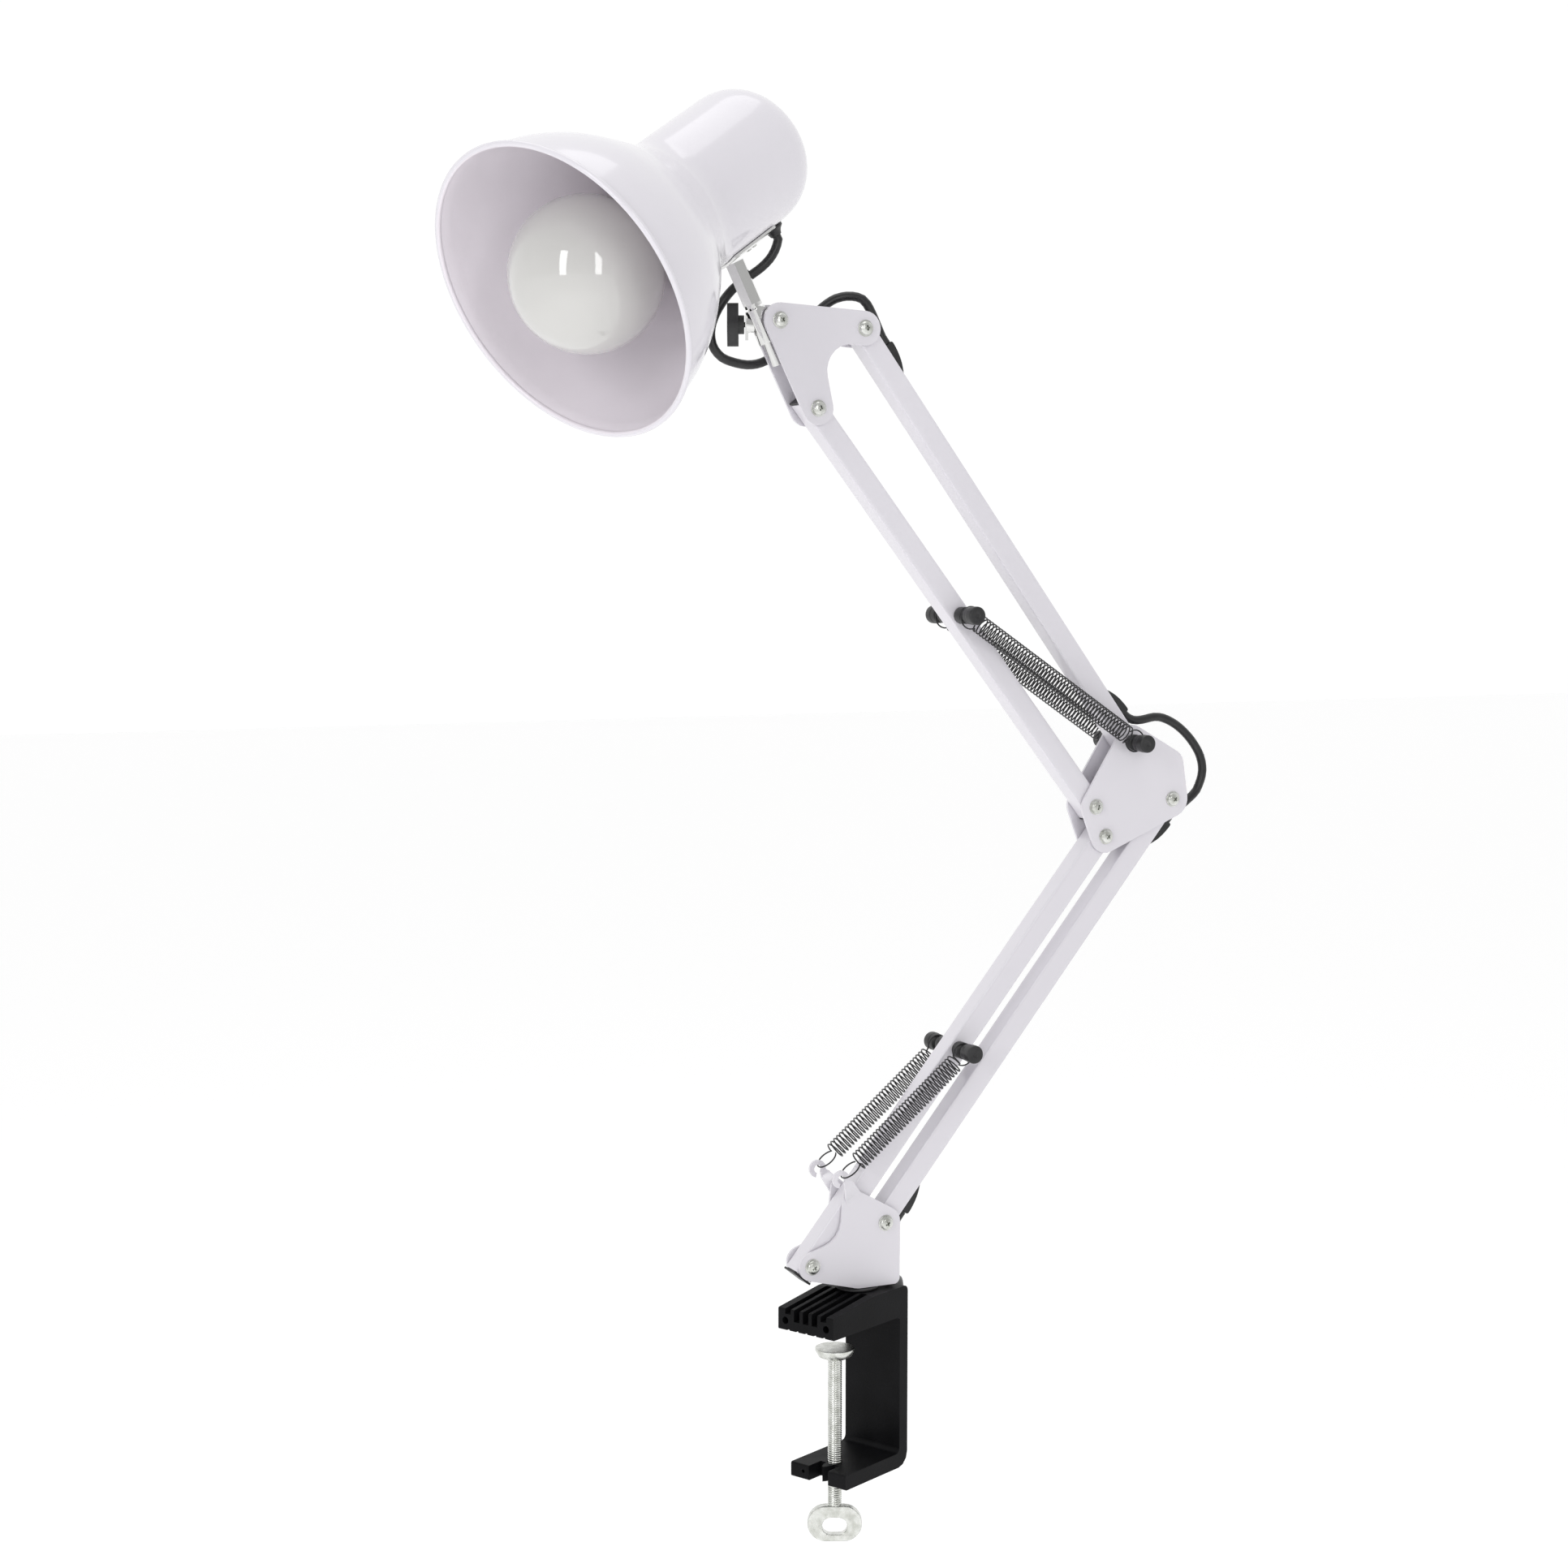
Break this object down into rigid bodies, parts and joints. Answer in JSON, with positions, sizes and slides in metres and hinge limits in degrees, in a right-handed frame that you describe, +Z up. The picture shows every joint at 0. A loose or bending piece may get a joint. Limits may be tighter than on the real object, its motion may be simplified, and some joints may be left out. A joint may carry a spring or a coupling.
{
  "type": "swing arm desk lamp",
  "caption": "Table-clamp desk lamp: two-stage double-bar arm with paired tension springs, levelling plates at base, elbow and head, and a white bell shade on a swivelling stem.",
  "frame": {"origin": "on the clamp's swivel axis, in the plane of the upper jaw's underside, which rests on the table top", "axes": "+Z up along the swivel axis; the arm lies in the XZ plane and the head points along -X, with the seen side towards -Y; the clamp's jaws open 25 degrees round from -X towards -Y"},
  "size_m": [0.4646, 0.1849, 0.7898],
  "materials": {
    "white_paint": "glossy white enamel",
    "clamp_black": "satin black",
    "black_plastic": "satin",
    "chrome": "polished",
    "zinc": "zinc plated",
    "spring_steel": "blackened",
    "opal_glass": "opal white, gloss",
    "holder": "gloss",
    "cap_metal": "bright",
    "cord": "satin"
  },
  "bodies": {
    "clamp": {"clamp_frame": "clamp_black", "swivel_washer": "black_plastic", "mains_hank": "cord", "mains_plug": "black_plastic"},
    "pad": {"pressure_pad": "zinc"},
    "screw": {"clamp_screw": "zinc", "thumb_ring": "zinc"},
    "base": {"base_bracket": "white_paint", "swivel_pin": "zinc", "pivot_screw_base_front": "zinc", "pivot_screw_base_rear": "zinc", "lower_spring_near": "spring_steel", "lower_spring_far": "spring_steel", "mains_lead": "cord"},
    "lower_front": {"lower_front_bar": "white_paint", "lower_bar_bottom_cap": "black_plastic", "lower_bar_top_cap": "black_plastic", "lower_spring_post_near": "black_plastic", "lower_spring_post_far": "black_plastic"},
    "lower_rear": {"lower_rear_bar": "white_paint", "base_cable_hood": "black_plastic", "elbow_hood_lower": "black_plastic", "lower_cable_run": "cord"},
    "elbow": {"elbow_plate_near": "white_paint", "elbow_plate_far": "white_paint", "elbow_spring_post_near": "black_plastic", "elbow_spring_post_far": "black_plastic", "pivot_screw_elbow_front": "zinc", "pivot_screw_elbow_rear": "zinc", "pivot_screw_elbow_upper": "zinc", "upper_spring_near": "spring_steel", "upper_spring_far": "spring_steel", "elbow_cable": "cord"},
    "upper_front": {"upper_front_bar": "white_paint", "upper_bar_bottom_cap": "black_plastic", "upper_bar_top_cap": "black_plastic", "upper_spring_post_near": "black_plastic", "upper_spring_post_far": "black_plastic"},
    "upper_rear": {"upper_rear_bar": "white_paint", "elbow_hood_upper": "black_plastic", "head_cable_hood": "black_plastic", "upper_cable_run": "cord"},
    "head_plates": {"head_plate_near": "white_paint", "head_plate_far": "white_paint", "pivot_screw_head_front": "zinc", "pivot_screw_head_rear": "zinc", "pivot_screw_knuckle": "zinc", "head_cable": "cord"},
    "knuckle": {"knuckle_saddle": "chrome"},
    "knob": {"wing_knob": "black_plastic"},
    "head": {"stem": "chrome", "neck_strap": "chrome", "strap_screw_1": "zinc", "strap_screw_2": "zinc", "shade": "white_paint", "lamp_holder": "holder", "bulb_globe": "opal_glass", "bulb_cap": "cap_metal", "cable_boot": "black_plastic"}
  },
  "joints": [
    {"name": "pad_slide", "type": "slide", "parent": "clamp", "child": "pad", "axis": [0, 0, 1], "range_m": [-0.0555, 0.0124]},
    {"name": "clamp_turn", "type": "hinge", "parent": "pad", "child": "screw", "pos_m": [-0.01776, -0.00828, -0.05], "axis": [0, 0, 1], "range_deg": [-16000, 3580]},
    {"name": "base_swivel", "type": "hinge", "parent": "clamp", "child": "base", "pos_m": [0, 0, 0.0169], "axis": [0, 0, 1], "range_deg": [-120, 120], "deforming": ["mains_lead"]},
    {"name": "lower_arm_tilt", "type": "hinge", "parent": "base", "child": "lower_rear", "pos_m": [0.0135, 0, 0.0537], "axis": [0, 1, 0], "range_deg": [-49, 11]},
    {"name": "lower_front_tilt", "type": "hinge", "parent": "base", "child": "lower_front", "pos_m": [-0.0317, 0, 0.0339], "axis": [0, 1, 0], "range_deg": [-50, 12], "deforming": ["lower_spring_near", "lower_spring_far"]},
    {"name": "elbow_level", "type": "hinge", "parent": "lower_rear", "child": "elbow", "pos_m": [0.2002, 0, 0.2829], "axis": [0, 1, 0], "range_deg": [-12, 50]},
    {"name": "upper_arm_tilt", "type": "hinge", "parent": "elbow", "child": "upper_rear", "pos_m": [0.172, 0, 0.3166], "axis": [0, 1, 0], "range_deg": [-46, 33], "deforming": ["elbow_cable"]},
    {"name": "upper_front_tilt", "type": "hinge", "parent": "elbow", "child": "upper_front", "pos_m": [0.1483, 0, 0.2803], "axis": [0, 1, 0], "range_deg": [-48, 35], "deforming": ["upper_spring_near", "upper_spring_far"]},
    {"name": "head_level", "type": "hinge", "parent": "upper_rear", "child": "head_plates", "pos_m": [-0.0006, 0, 0.5447], "axis": [0, 1, 0], "range_deg": [-30, 42]},
    {"name": "head_tilt", "type": "hinge", "parent": "head_plates", "child": "knuckle", "pos_m": [-0.0512, 0, 0.5471], "axis": [0, 1, 0], "range_deg": [-38, 50], "deforming": ["head_cable"]},
    {"name": "head_swivel", "type": "hinge", "parent": "knuckle", "child": "head", "pos_m": [-0.05824, 0, 0.54484], "axis": [0.4372, 0, -0.8994], "range_deg": [-90, 90]},
    {"name": "knob_turn", "type": "hinge", "parent": "knuckle", "child": "knob", "pos_m": [-0.05832, 0, 0.54502], "axis": [-0.9019, 0.432, 0], "range_deg": [-180, 180]}
  ],
  "couplings": [
    {"joint": "clamp_turn", "follows": "pad_slide", "rad_per_m": 5026.5},
    {"joint": "lower_front_tilt", "follows": "lower_arm_tilt", "ratio": 1},
    {"joint": "elbow_level", "follows": "lower_arm_tilt", "ratio": -1},
    {"joint": "upper_front_tilt", "follows": "upper_arm_tilt", "ratio": 1},
    {"joint": "head_level", "follows": "upper_arm_tilt", "ratio": -0.83}
  ]
}
